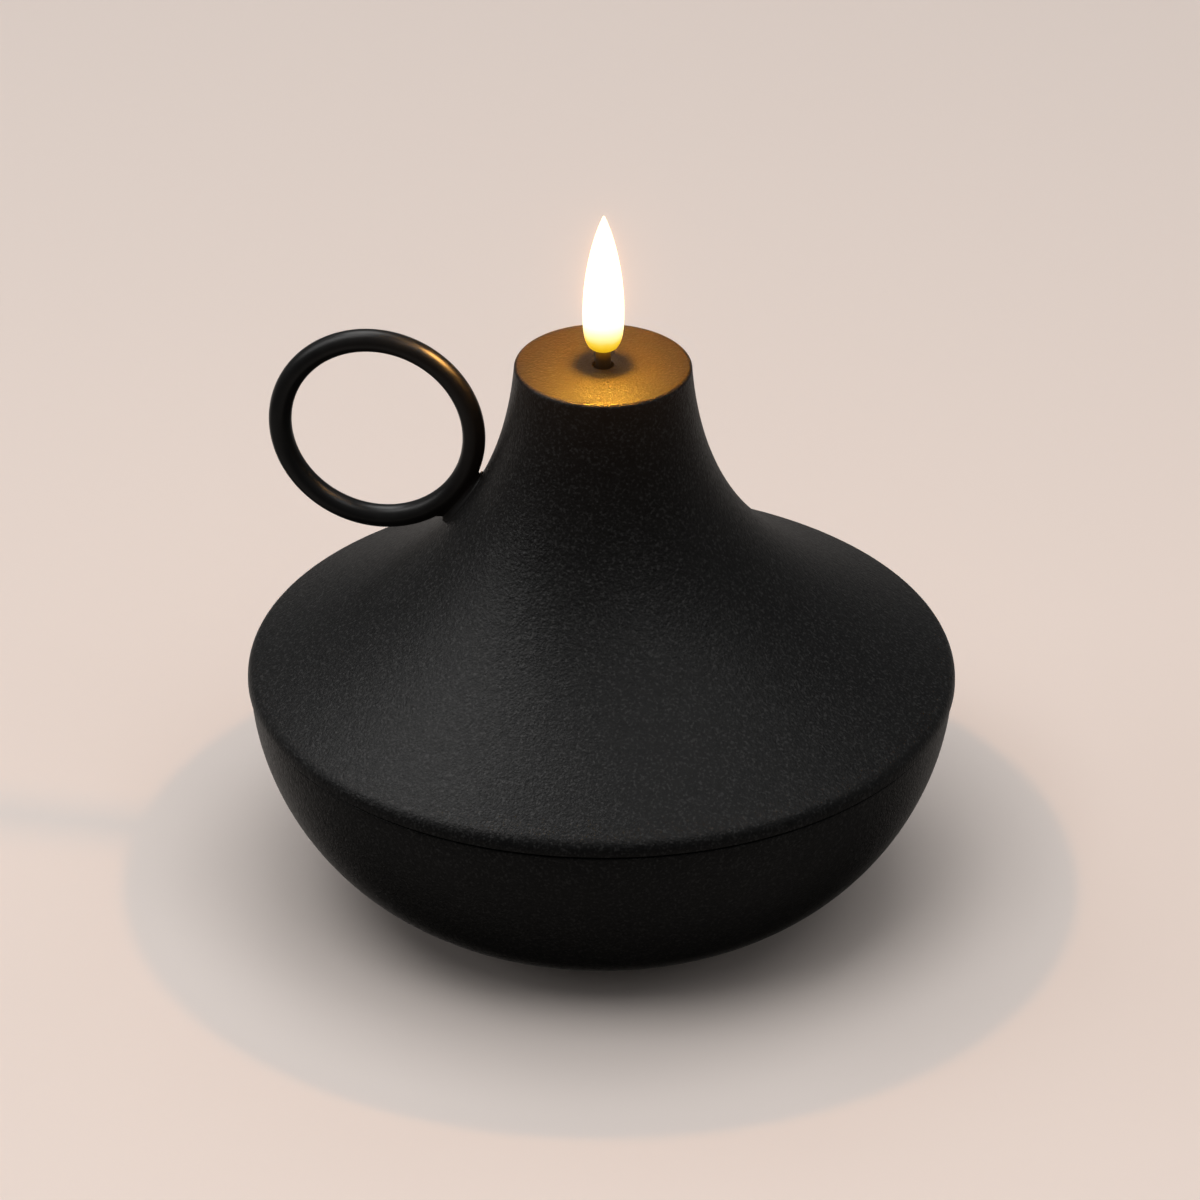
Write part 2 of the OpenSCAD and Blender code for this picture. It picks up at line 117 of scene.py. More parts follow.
def make(name, verts, faces, sharp=32.0, weld=True):
    """a mesh object from millimetre points, smooth with sharp edges kept"""
    me = bpy.data.meshes.new(name)
    me.from_pydata([(x * 0.001, y * 0.001, z * 0.001) for x, y, z in verts], [], faces)
    bm = bmesh.new()
    bm.from_mesh(me)
    if weld:
        bmesh.ops.remove_doubles(bm, verts=bm.verts, dist=1e-7)
    bmesh.ops.recalc_face_normals(bm, faces=bm.faces)
    bm.to_mesh(me)
    bm.free()
    me.shade_smooth()
    me.set_sharp_from_angle(angle=math.radians(sharp))
    ob = bpy.data.objects.new(name, me)
    scene.collection.objects.link(ob)
    return ob


def revolve_data(outline, n=256, centre=(0.0, 0.0), closed=True):
    """ring-by-ring mesh of a closed outline of (radius, z); radius 0 is a pole"""
    verts, rows = [], []
    for r, z in outline:
        if r < 1e-6:
            rows.append([len(verts)])
            verts.append((centre[0], centre[1], z))
        else:
            rows.append(list(range(len(verts), len(verts) + n)))
            for j in range(n):
                a = 2 * math.pi * j / n
                verts.append((centre[0] + r * math.cos(a), centre[1] + r * math.sin(a), z))
    faces = []
    m = len(rows)
    for i in range(m if closed else m - 1):
        a, b = rows[i], rows[(i + 1) % m]
        if len(a) == 1 and len(b) == 1:
            continue
        for j in range(n):
            k = (j + 1) % n
            if len(a) == 1:
                faces.append((a[0], b[j], b[k]))
            elif len(b) == 1:
                faces.append((a[j], b[0], a[k]))
            else:
                faces.append((a[j], b[j], b[k], a[k]))
    return verts, faces


def revolve(name, outline, n=256, sharp=32.0):
    v, f = revolve_data(outline, n)
    return make(name, v, f, sharp)


def put(ob, body, slot, *nodes):
    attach(ob, body)
    if nodes:
        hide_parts(*nodes)
    return ob


# ---------------------------------------------------------------- materials
class Mat:
    """builds one node material"""

    def __init__(self, name):
        self.m = bpy.data.materials.new(name)
        self.m.use_nodes = True
        self.t = self.m.node_tree
        self.t.nodes.clear()
        self.out = self.t.nodes.new("ShaderNodeOutputMaterial")
        self.p = self.t.nodes.new("ShaderNodeBsdfPrincipled")
        self.t.links.new(self.p.outputs[0], self.out.inputs["Surface"])
        tc = self.t.nodes.new("ShaderNodeTexCoord")
        self.co = tc.outputs["Object"]

    def set(self, **kw):
        for k, v in kw.items():
            self.p.inputs[k.replace("_", " ")].default_value = v
        return self

    def noise(self, scale, detail=3.0, rough=0.5, kind="FBM", co=None):
        n = self.t.nodes.new("ShaderNodeTexNoise")
        n.noise_type = kind
        n.inputs["Scale"].default_value = scale
        n.inputs["Detail"].default_value = detail
        n.inputs["Roughness"].default_value = rough
        self.t.links.new(co or self.co, n.inputs["Vector"])
        return n.outputs["Fac"]

    def voronoi(self, scale, feature="F1", co=None, randomness=1.0):
        n = self.t.nodes.new("ShaderNodeTexVoronoi")
        n.feature = feature
        n.inputs["Scale"].default_value = scale
        n.inputs["Randomness"].default_value = randomness
        self.t.links.new(co or self.co, n.inputs["Vector"])
        return n.outputs["Distance"]

    def stretch(self, x, y, z):
        n = self.t.nodes.new("ShaderNodeMapping")
        n.inputs["Scale"].default_value = (x, y, z)
        self.t.links.new(self.co, n.inputs["Vector"])
        return n.outputs["Vector"]

    def ramp(self, fac, stops, mode="LINEAR"):
        n = self.t.nodes.new("ShaderNodeValToRGB")
        n.color_ramp.interpolation = mode
        e = n.color_ramp.elements
        while len(e) < len(stops):
            e.new(0.5)
        for i, (pos, c) in enumerate(stops):
            e[i].position = pos
            e[i].color = (*c, 1.0) if isinstance(c, (tuple, list)) else (c, c, c, 1.0)
        self.t.links.new(fac, n.inputs["Fac"])
        return n.outputs["Color"]

    def span(self, fac, a, b, lo, hi):
        n = self.t.nodes.new("ShaderNodeMapRange")
        n.inputs["From Min"].default_value = a
        n.inputs["From Max"].default_value = b
        n.inputs["To Min"].default_value = lo
        n.inputs["To Max"].default_value = hi
        self.t.links.new(fac, n.inputs["Value"])
        return n.outputs["Result"]

    def math(self, op, a, b):
        n = self.t.nodes.new("ShaderNodeMath")
        n.operation = op
        for i, v in enumerate((a, b)):
            if isinstance(v, (int, float)):
                n.inputs[i].default_value = v
            else:
                self.t.links.new(v, n.inputs[i])
        return n.outputs[0]

    def mix(self, fac, a, b):
        n = self.t.nodes.new("ShaderNodeMix")
        n.data_type = "RGBA"
        for key, v in (("Factor", fac), ("A", a), ("B", b)):
            s = [i for i in n.inputs if i.name == key and i.enabled][0]
            if isinstance(v, tuple):
                s.default_value = (*v, 1.0)
            elif isinstance(v, (int, float)):
                s.default_value = v
            else:
                self.t.links.new(v, s)
        return [o for o in n.outputs if o.enabled][0]

    def axis(self, which):
        n = self.t.nodes.new("ShaderNodeSeparateXYZ")
        self.t.links.new(self.co, n.inputs[0])
        return n.outputs[which]

    def bump(self, height, strength, distance, under=None):
        n = self.t.nodes.new("ShaderNodeBump")
        n.inputs["Strength"].default_value = strength
        n.inputs["Distance"].default_value = distance
        self.t.links.new(height, n.inputs["Height"])
        if under is not None:
            self.t.links.new(under, n.inputs["Normal"])
        return n.outputs["Normal"]

    def to(self, socket, value):
        self.t.links.new(value, self.p.inputs[socket])
        return self


def mat_coat():
    # fine-textured powder coat: soft waves, small domes, a tight grain and pale specks
    m = Mat("black_coat")
    peel = m.noise(420.0, 2.0, 0.55)
    domes = m.span(m.voronoi(1300.0), 0.0, 0.7, 1.0, 0.0)
    grain = m.noise(1000.0, 3.0, 0.6)
    fine = m.noise(2400.0, 2.0, 0.5)
    mottle = m.noise(330.0, 4.0, 0.65)
    specks = m.noise(1300.0, 2.0, 0.5)
    tone = m.mix(m.span(mottle, 0.35, 0.65, 0.0, 1.0), (0.0056, 0.0056, 0.0057), (0.0088, 0.0087, 0.0086))
    tone = m.mix(m.span(specks, 0.52, 0.72, 0.0, 1.0), tone, (0.036, 0.0355, 0.035))
    # painted shade: the flat top's colour is darkened towards near-black, standing in for less studio light falling
    # on it than on the flare
    z = m.axis("Z")
    m.to("Base Color", m.mix(m.span(z, (TOP_Z - 0.4) * 0.001, (TOP_Z - 0.1) * 0.001, 0.0, 0.45), tone, (0.0030, 0.0030, 0.0030)))
    m.to("Roughness", m.span(grain, 0.3, 0.7, 0.36, 0.50))
    n = m.bump(peel, 0.4, 0.0003)
    n = m.bump(domes, 0.22, 0.00025, n)
    n = m.bump(grain, 0.5, 0.0003, n)
    m.to("Normal", m.bump(fine, 0.5, 0.00015, n))
    m.p.inputs["Specular IOR Level"].default_value = 0.2
    return m.m


def mat_ring():
    # smooth satin paint with a very light orange peel
    m = Mat("black_ring")
    wave = m.noise(300.0, 2.0, 0.5)
    fine = m.noise(1800.0, 2.0, 0.5)
    m.to("Base Color", m.mix(m.span(m.noise(160.0, 3.0, 0.6), 0.35, 0.65, 0.0, 1.0), (0.0070, 0.0070, 0.0072), (0.0105, 0.0104, 0.0102)))
    m.to("Roughness", m.span(wave, 0.3, 0.7, 0.30, 0.37))
    m.p.inputs["Specular IOR Level"].default_value = 0.33
    m.to("Normal", m.bump(fine, 0.10, 0.00003, m.bump(wave, 0.12, 0.00012)))
    return m.m


def mat_rubber(name="black_rubber"):
    m = Mat(name)
    g = m.noise(2600.0, 3.0, 0.6)
    m.to("Base Color", m.mix(m.noise(500.0, 3.0, 0.6), (0.008, 0.008, 0.008), (0.018, 0.018, 0.018)))
    m.to("Roughness", m.span(g, 0.3, 0.7, 0.72, 0.88))
    m.to("Normal", m.bump(g, 0.35, 0.00005))
    return m.m


def mat_plastic(name, dark, light, rough=(0.42, 0.56), scale=1700.0, depth=0.00006):
    # spark-textured moulding
    m = Mat(name)
    g = m.noise(scale, 4.0, 0.6)
    m.to("Base Color", m.mix(m.span(m.noise(260.0, 3.0, 0.6), 0.3, 0.7, 0.0, 1.0), dark, light))
    m.to("Roughness", m.span(g, 0.3, 0.7, *rough))
    m.to("Normal", m.bump(g, 0.45, depth))
    return m.m


def mat_metal(name, dark, light, rough=(0.24, 0.38), along=(1.0, 1.0, 9.0)):
    m = Mat(name)
    streak = m.noise(900.0, 4.0, 0.6, co=m.stretch(*along))
    blot = m.noise(220.0, 3.0, 0.6)
    m.to("Base Color", m.mix(m.span(blot, 0.3, 0.7, 0.0, 1.0), dark, light))
    m.to("Roughness", m.span(streak, 0.3, 0.7, *rough))
    m.to("Normal", m.bump(streak, 0.18, 0.00003))
    m.p.inputs["Metallic"].default_value = 1.0
    return m.m


def mat_flame():
    # lit diffuser: near-white body, paler towards the tip, amber where it closes on the stem
    m = Mat("flame_plastic")
    z = m.axis("Z")
    h = m.span(z, FLAME_Z * 0.001, (FLAME_Z + 37.5) * 0.001, 0.0, 1.0)
    cloud = m.noise(240.0, 3.0, 0.55)
    hh = m.math("ADD", h, m.span(cloud, 0.3, 0.7, -0.006, 0.006))
    glow = m.ramp(hh, [(0.0, (0.17, 0.090, 0.0010)), (0.061, (0.26, 0.160, 0.0040)), (0.096, (0.30, 0.205, 0.0150)), (0.144, (0.35, 0.300, 0.130)),
                       (0.224, (0.50, 0.44, 0.30)), (0.40, (1.0, 0.84, 0.46)), (1.0, (1.0, 0.80, 0.40))])
    m.to("Emission Color", glow)
    m.p.inputs["Emission Strength"].default_value = 3.2
    body = m.mix(cloud, (0.40, 0.34, 0.24), (0.46, 0.40, 0.30))
    m.to("Base Color", m.mix(m.span(h, 0.06, 0.22, 0.0, 1.0), (0.20, 0.105, 0.010), body))
    m.to("Roughness", m.span(cloud, 0.3, 0.7, 0.38, 0.48))
    m.p.inputs["Subsurface Weight"].default_value = 0.0
    return m.m


def mat_stem():
    m = Mat("black_stem")
    z = m.axis("Z")
    g = m.noise(1500.0, 3.0, 0.5)
    m.to("Base Color", m.mix(m.noise(500.0, 2.0, 0.5), (0.002, 0.002, 0.002), (0.005, 0.0045, 0.004)))
    m.to("Roughness", m.span(g, 0.3, 0.7, 0.30, 0.42))
    m.to("Normal", m.bump(g, 0.10, 0.00003))
    # painted glow: emission at the top of the tube stands in for the flame's light falling on it, fading a little way
    # down
    m.to("Emission Color", m.ramp(m.span(z, 0.1505, 0.1545, 0.0, 1.0), [(0.0, (0.0, 0.0, 0.0)), (0.35, (0.007, 0.003, 0.0002)), (0.62, (0.052, 0.018, 0.0004)), (0.82, (0.10, 0.040, 0.001)), (1.0, (0.20, 0.10, 0.004))]))
    m.p.inputs["Emission Strength"].default_value = 1.0
    return m.m


def mat_led():
    m = Mat("led_resin")
    m.to("Base Color", m.mix(m.noise(800.0, 2.0, 0.5), (0.95, 0.78, 0.35), (1.0, 0.88, 0.5)))
    m.set(Emission_Color=(1.0, 0.75, 0.35, 1.0), Emission_Strength=3.0, Roughness=0.2)
    return m.m


def mat_board():
    m = Mat("board_green")
    weave = m.noise(1300.0, 2.0, 0.5, co=m.stretch(1.0, 0.25, 1.0))
    traces = m.voronoi(420.0, "DISTANCE_TO_EDGE")
    m.to("Base Color", m.mix(m.span(traces, 0.02, 0.06, 0.0, 1.0), (0.010, 0.110, 0.035), (0.014, 0.075, 0.028)))
    m.to("Roughness", m.span(weave, 0.3, 0.7, 0.28, 0.42))
    m.to("Normal", m.bump(weave, 0.2, 0.00003))
    return m.m


def mat_parts():
    m = Mat("board_part")
    m.to("Base Color", m.ramp(m.axis("Z"), [(0.0, (0.05, 0.04, 0.03)), (1.0, (0.30, 0.24, 0.17))]))
    g = m.noise(1400.0, 3.0, 0.5)
    m.to("Base Color", m.mix(g, (0.13, 0.10, 0.07), (0.26, 0.21, 0.15)))
    m.to("Roughness", m.span(g, 0.3, 0.7, 0.35, 0.5))
    return m.m


def mat_wire(name, dark, light):
    m = Mat(name)
    g = m.noise(1200.0, 3.0, 0.5)
    m.to("Base Color", m.mix(g, dark, light))
    m.to("Roughness", m.span(g, 0.3, 0.7, 0.30, 0.42))
    m.to("Normal", m.bump(g, 0.12, 0.00003))
    return m.m


def mat_floor():
    m = Mat("floor")
    big = m.noise(1.1, 2.0, 0.5)
    small = m.noise(900.0, 3.0, 0.55)
    m.to("Base Color", m.mix(m.span(big, 0.3, 0.7, 0.0, 1.0), (0.702, 0.627, 0.583), (0.713, 0.637, 0.593)))
    m.to("Roughness", m.span(small, 0.3, 0.7, 0.80, 0.9))
    m.to("Normal", m.bump(small, 0.04, 0.00006))
    m.p.inputs["Specular IOR Level"].default_value = 0.25
    return m.m


MATS = {
    "black_coat": mat_coat(),
    "black_ring": mat_ring(),
    "black_rubber": mat_rubber(),
    "zinc_screw": mat_metal("zinc_screw", (0.50, 0.50, 0.52), (0.66, 0.66, 0.68)),
    "flame_plastic": mat_flame(),
    "led_resin": mat_led(),
    "black_stem": mat_stem(),
    "bracket_steel": mat_metal("bracket_steel", (0.40, 0.40, 0.42), (0.55, 0.55, 0.57), (0.30, 0.45)),
    "inner_plastic": mat_plastic("inner_plastic", (0.045, 0.045, 0.048), (0.062, 0.062, 0.066)),
    "base_plastic": mat_plastic("base_plastic", (0.018, 0.018, 0.0185), (0.027, 0.027, 0.0275)),
    "nickel": mat_metal("nickel", (0.62, 0.60, 0.56), (0.76, 0.74, 0.69), (0.18, 0.3)),
    "cell_can": mat_metal("cell_can", (0.38, 0.38, 0.40), (0.50, 0.50, 0.53), (0.25, 0.4)),
    "board_green": mat_board(),
    "chip_black": mat_plastic("chip_black", (0.014, 0.014, 0.014), (0.024, 0.024, 0.024)),
    "board_part": mat_parts(),
    "switch_tin": mat_metal("switch_tin", (0.54, 0.54, 0.56), (0.66, 0.66, 0.68)),
    "switch_white": mat_plastic("switch_white", (0.66, 0.66, 0.64), (0.76, 0.76, 0.74), (0.36, 0.48)),
    "wire_red": mat_wire("wire_red", (0.42, 0.02, 0.02), (0.55, 0.035, 0.03)),
    "wire_black": mat_wire("wire_black", (0.012, 0.012, 0.012), (0.022, 0.022, 0.022)),
}
SLOT_OF = {s["node"]: s["material_slot"] for s in frame["record"]["subparts"]}


def dress(ob, slot):
    ob.data.materials.clear()
    ob.data.materials.append(MATS[slot])
    return ob


for name, ob in NODES.items():
    for s in ob.material_slots:
        s.link = "OBJECT"
        s.material = MATS[SLOT_OF[name]]


# the moulded pieces seen from below get small broken edges
for name in ("base_plate", "battery_cap", "rubber_feet", "switch_slider"):
    b = NODES[name].modifiers.new("broken_edges", "BEVEL")
    b.width = 0.0002
    b.segments = 2
    b.limit_method = "ANGLE"
    b.angle_limit = math.radians(35)
    b.use_clamp_overlap = True
    b.harden_normals = True


# ---------------------------------------------------------------- casing
def casing():
    end = (FLARE[3][0] - FLARE[2][0], FLARE[3][1] - FLARE[2][1])
    rim_a = math.degrees(math.atan2(end[0], -end[1]))
    start_r = R - RIM_ROUND + RIM_ROUND * math.cos(math.radians(rim_a))
    start_z = FLARE[3][1] + (start_r - FLARE[3][0]) * end[1] / end[0]
    zc = start_z - RIM_ROUND * math.sin(math.radians(rim_a))
    edge = SEAM_Z + 0.3
    o = [(HOLE_R + 0.25, TOP_Z), (HOLE_R + 0.07, TOP_Z - 0.07), (HOLE_R, TOP_Z - 0.25), (HOLE_R, TOP_Z - WALL)]
    o.reverse()
    # flat top in a few rings, so that it stays flat in shading
    o += [(r, TOP_Z) for r in (5.0, 9.0, 14.0, 18.5)]
    o += arc((TOP_R - TOP_ROUND, TOP_Z - TOP_ROUND), TOP_ROUND, 90, 0, 10)
    o += [bez(FLARE, i / 110) for i in range(1, 111)]
    o += arc((R - RIM_ROUND, zc), RIM_ROUND, rim_a, 0, 14)
    o += rounded([(R, zc), (R, edge, 0.38), (R - WALL, edge, 0.25), (R - WALL, zc)])[1:-1]
    o += arc((R - RIM_ROUND, zc), RIM_ROUND - WALL, 0, rim_a, 8)
    o += [bez_off(FLARE, i / 50, -WALL) for i in range(50, 0, -1)]
    o += [(TOP_R - WALL - 0.3, TOP_Z - WALL)]
    ob = dress(revolve("upper_shell_skin", o, 360, 30), "black_coat")
    put(ob, "lamp", "black_coat", "upper_shell")

    def bowl_r(z):
        return (R - 0.7) * (1 - ((SEAM_Z - z) / 63.5) ** 1.77) ** (1 / 2.9)

    def bowl_in(z):
        a, b = bowl_r(z + 0.05), bowl_r(z - 0.05)
        d = unit((a - b, 0.1))
        return (bowl_r(z) - WALL * d[1], z + WALL * d[0])

    foot = 1.2
    top = SEAM_Z - 0.3
    n = 96
    zs = [foot + (top - foot) * (1 - math.cos(math.radians(90 * i / n))) for i in range(n + 1)]
    lip = R - 2.5
    o = rounded([(41.2, foot, 0.35), (bowl_r(foot), foot, 0.3), (bowl_r(foot) + 0.9, foot + 0.45)])[:-1]
    o += [(bowl_r(z), z) for z in zs if z > foot + 0.6 and z < top - 0.45]
    o += rounded([(bowl_r(top - 0.45), top - 0.45), (bowl_r(top), top, 0.3), (lip, top, 0.15), (lip, SEAM_Z + 3, 0.3), (lip - WALL, SEAM_Z + 3, 0.3), (lip - WALL, SEAM_Z - 1.6)])[1:]
    m = 40
    zi = [foot + (top - foot) * (1 - math.cos(math.radians(90 * i / m))) for i in range(m + 1)]
    o += [bowl_in(zi[i]) for i in range(m - 2, 4, -1)]
    o += rounded([(43.4, foot + 1.6), (42.4, 4.7), (37.5, 4.7, 0.2), (37.5, 3.5, 0.2), (41.2, 3.5, 0.3)])
    ob = dress(revolve("lower_bowl_skin", o, 360, 30), "black_coat")
    put(ob, "lamp", "black_coat", "lower_bowl")

    a = SEAM_Z - 0.27
    o = rounded([(lip + 0.05, a), (R - 1.5, a, 0.12), (R - 1.5, a + 0.55), (R - 1.6, SEAM_Z + 2.6, 0.2), (lip + 0.05, SEAM_Z + 2.6)])
    ob = dress(revolve("rim_gasket_skin", o, 256, 30), "black_rubber")
    put(ob, "lamp", "black_rubber", "rim_gasket")


# ---------------------------------------------------------------- handle
def flare_r(z):
    """outer radius of the flare at height z, by halving"""
    lo, hi = 0.0, 1.0
    for _ in range(40):
        t = (lo + hi) / 2
        if bez(FLARE, t)[1] > z:
            lo = t
        else:
            hi = t
    return bez(FLARE, (lo + hi) / 2)[0]


def handle():
    n, k = 224, 56
    verts, faces = [], []
    for i in range(n):
        a = 2 * math.pi * i / n
        for j in range(k):
            b = 2 * math.pi * j / k
            r = RING_R + ROD_R * math.cos(b)
            verts.append((-RING_X + r * math.cos(a), ROD_R * math.sin(b), RING_Z + r * math.sin(a)))
    for i in range(n):
        for j in range(k):
            faces.append((i * k + j, ((i + 1) % n) * k + j, ((i + 1) % n) * k + (j + 1) % k, i * k + (j + 1) % k))
    ob = dress(make("ring_handle_skin", verts, faces, 60), "black_ring")
    put(ob, "lamp", "black_ring", "ring_handle")

    # saddle: fills the wedge between ring and flare, its sides drawn in like a smoothed fillet
    ja = math.radians(90 + JOINT_A)
    ax = Vector((math.sin(ja), 0, math.cos(ja)))
    tb = Vector((-math.cos(ja), 0, math.sin(ja)))
    c = Vector((-RING_X, 0, RING_Z))

    def ring_h(s, y):
        return math.sqrt((RING_R + math.sqrt(max(0.05, ROD_R ** 2 - y * y))) ** 2 - s * s)

    def flare_h(s, y):
        lo, hi = 22.0, 34.0
        for _ in range(40):
            h = (lo + hi) / 2
            p = c + ax * h + tb * s
            if math.hypot(p.x, y) > flare_r(p.z):
                lo = h
            else:
                hi = h
        return (lo + hi) / 2

    levels = [(0.0, 1.06), (0.10, 0.985), (0.25, 0.92), (0.40, 0.90), (0.54, 0.95), (0.67, 1.05), (0.79, 1.18), (0.90, 1.32), (0.98, 1.43), (1.0, 1.44)]
    m = 96
    verts, faces = [], []
    for t, f in levels:
        for j in range(m):
            a = 2 * math.pi * j / m
            s = -4.4 + (8.9 - 0.9 * (1 - min(f, 1.0)) / 0.11) * math.cos(a)
            y = 2.45 * f * math.copysign(abs(math.sin(a)) ** 0.72, math.sin(a))
            h0, h1 = ring_h(s, y) - 0.12, flare_h(s, y) + 0.02
            p = c + ax * (h0 + (h1 - h0) * t) + tb * s
            verts.append((p.x, y, p.z))
    for i in range(len(levels) - 1):
        for j in range(m):
            k2 = (j + 1) % m
            faces.append((i * m + j, (i + 1) * m + j, (i + 1) * m + k2, i * m + k2))
    # caps as strips across the width
    for base in (0, (len(levels) - 1) * m):
        for j in range(m // 2):
            a0, a1 = base + j, base + (j + 1) % m
            b0, b1 = base + (m - j) % m, base + (m - j - 1) % m
            if a0 == b0:
                faces.append((a0, a1, b1))
            elif a1 == b1:
                faces.append((a0, a1, b0))
            else:
                faces.append((a0, a1, b1, b0))
    ob = dress(make("handle_saddle_skin", verts, faces, 50), "black_ring")
    put(ob, "lamp", "black_ring", "handle_saddle")


# ---------------------------------------------------------------- flame and stem
def flame():
    fr = 5.2
    low = [(1.99, 0.5), (fr - 0.55, 0.65), (fr, 4.6), (fr, 10.0)]
    high = [(fr, 10.0), (fr, 20.0), (fr * 0.63, 30.1), (0.25, 37.3)]
    lo_in = [(1.99, 2.6), (fr - 1.4, 3.0), (fr - 0.8, 6.0), (fr - 0.8, 10.0)]
    hi_in = [(fr - 0.8, 10.0), (fr - 0.8, 19.0), (fr * 0.48, 28.5), (0.0, 34.9)]
    o = [bez(low, i / 28) for i in range(29)]
    o += [bez(high, i / 64) for i in range(1, 64)]
    o += [(0.25, 37.3), (0.13, 37.44), (0.0, 37.5)]
    o += [(0.0, 34.9)] + [bez(hi_in, i / 28) for i in range(27, -1, -1)]
    o += [bez(lo_in, i / 14) for i in range(13, -1, -1)]
    o = [(r, z + FLAME_Z) for r, z in o]
    v, f = revolve_data(o, 128)
    ob = dress(make("flame_lens_skin", v, f, 50), "flame_plastic")
    # the mesh is only seen; its light comes from the small light inside it
    ob.visible_shadow = False
    ob.visible_diffuse = False
    ob.visible_glossy = False
    put(ob, "lamp", "flame_plastic", "flame_lens")

    ro, ri, z0, z1 = 1.95, 1.46, 139.2, 156.3
    o = rounded([(ri, z0, 0.1), (ro, z0, 0.1), (ro, z1, 0.12), (ri, z1, 0.1)])
    rings = [(ro, z) for z in (142.0, 146.0, 149.0, 151.0, 152.5, 154.0)]
    k = max(i for i, q in enumerate(o) if q[1] < z0 + 1 and q[0] > ri + 0.2) + 1
    o = o[:k] + rings + o[k:]
    ob = dress(revolve("wick_tube_skin", o, 64, 40), "black_stem")
    put(ob, "lamp", "black_stem", "wick_tube")


casing()
handle()
flame()


# ---------------------------------------------------------------- stage
def floor():
    v, f = revolve_data([(0.0, 0.0), (150.0, 0.0), (600.0, 0.0), (2500.0, 0.0), (9000.0, 0.0)], 96, closed=False)
    me = bpy.data.meshes.new("floor")
    me.from_pydata([(x * 0.001, y * 0.001, z * 0.001) for x, y, z in v], [], f)
    ob = bpy.data.objects.new("floor", me)
    scene.collection.objects.link(ob)
    bm = bmesh.new()
    bm.from_mesh(me)
    for fc in bm.faces:
        if fc.normal.z < 0:
            fc.normal_flip()
    bm.to_mesh(me)
    bm.free()
    me.materials.append(mat_floor())
    return ob


FLOOR = floor()


def shade():
    """a small round screen inside the flame, unseen, that throws the soft dark disc round the stem"""
    n = 48
    v = [(0.0065 * math.cos(2 * math.pi * j / n), 0.0065 * math.sin(2 * math.pi * j / n), 0.160) for j in range(n)]
    me = bpy.data.meshes.new("flame_shade")
    me.from_pydata(v, [], [tuple(range(n))])
    ob = bpy.data.objects.new("flame_shade", me)
    scene.collection.objects.link(ob)
    m = bpy.data.materials.new("flame_shade")
    m.use_nodes = True
    t = m.node_tree
    t.nodes.clear()
    veil = t.nodes.new("ShaderNodeBsdfTransparent")
    # clear at its edge and dense in the middle, so the dark spot fades out
    way = t.nodes.new("ShaderNodeTexCoord")
    far = t.nodes.new("ShaderNodeVectorMath")
    far.operation = "DISTANCE"
    far.inputs[1].default_value = (0.0, 0.0, 0.160)
    t.links.new(way.outputs["Object"], far.inputs[0])
    fade = t.nodes.new("ShaderNodeMapRange")
    fade.interpolation_type = "SMOOTHSTEP"
    for key, v in (("From Min", 0.0036), ("From Max", 0.0064), ("To Min", 0.08), ("To Max", 1.0)):
        fade.inputs[key].default_value = v
    t.links.new(far.outputs["Value"], fade.inputs["Value"])
    t.links.new(fade.outputs["Result"], veil.inputs["Color"])
    t.links.new(veil.outputs[0], t.nodes.new("ShaderNodeOutputMaterial").inputs["Surface"])
    me.materials.append(m)
    ob.visible_camera = False
    ob.visible_glossy = False


shade()

PHI = math.radians(10.95)


def place(x, y, z):
    """a point given in the camera's plan (x to the right, y away from it), in metres"""
    return Vector((x * math.cos(PHI) - y * math.sin(PHI), x * math.sin(PHI) + y * math.cos(PHI), z))


def camera():
    d, e, f = 2.218848, 0.5501837, 8593.827
    pitch, yaw, roll = 0.5189477, -0.000253, 0.0052
    cam = bpy.data.cameras.new("camera")
    ob = bpy.data.objects.new("camera", cam)
    scene.collection.objects.link(ob)
    cam.sensor_fit = "HORIZONTAL"
    cam.sensor_width = 36.0
    cam.lens = f / 1200.0 * 36.0
    cam.clip_start, cam.clip_end = 0.05, 40.0
    m = Matrix.Rotation(PHI - yaw, 4, "Z") @ Matrix.Rotation(math.pi / 2 - pitch, 4, "X") @ Matrix.Rotation(roll, 4, "Z")
    m.translation = place(0.0, -d * math.cos(e), d * math.sin(e) + 0.0024)
    ob.matrix_world = m
    scene.camera = ob
    return ob


camera()


def area(name, elevation, azimuth, power, colour=(1.0, 1.0, 1.0), distance=1.9, size=1.1):
    """a round softbox aimed at the lamp; azimuth 0 is to the camera's right, 90 behind the lamp"""
    li = bpy.data.lights.new(name, "AREA")
    li.shape = "DISK"
    li.size = size
    li.energy = power
    li.color = colour
    ob = bpy.data.objects.new(name, li)
    scene.collection.objects.link(ob)
    e, a = math.radians(elevation), math.radians(azimuth)
    aim = Vector((0.0, 0.0, 0.06))
    ob.location = place(distance * math.cos(e) * math.cos(a), distance * math.cos(e) * math.sin(a), 0.06 + distance * math.sin(e))
    ob.rotation_mode = "QUATERNION"
    ob.rotation_quaternion = (aim - ob.location).to_track_quat("-Z", "Y")
    ob.visible_camera = False
    return ob


def point(name, at, radius, power, colour):
    li = bpy.data.lights.new(name, "POINT")
    li.shadow_soft_size = radius
    li.energy = power
    li.color = colour
    ob = bpy.data.objects.new(name, li)
    scene.collection.objects.link(ob)
    ob.location = at
    return ob


# (elevation, azimuth, watts) of the soft studio lights
ON_LAMP = [(14, 0, 0.5), (35, 180, 6.2), (60, 0, 4.2), (60, 120, 12.3), (60, 180, 8.2), (60, 300, 4.3)]
ON_FLOOR = [(85, 0, 8.4), (60, 120, 2.1), (60, 180, 3.0), (60, 240, 11.8), (60, 300, 6.0), (35, 45, 2.4), (35, 90, 2.4), (35, 135, 2.6), (35, 315, 1.7),
            (14, 0, 2.3), (14, 180, 7.1)]


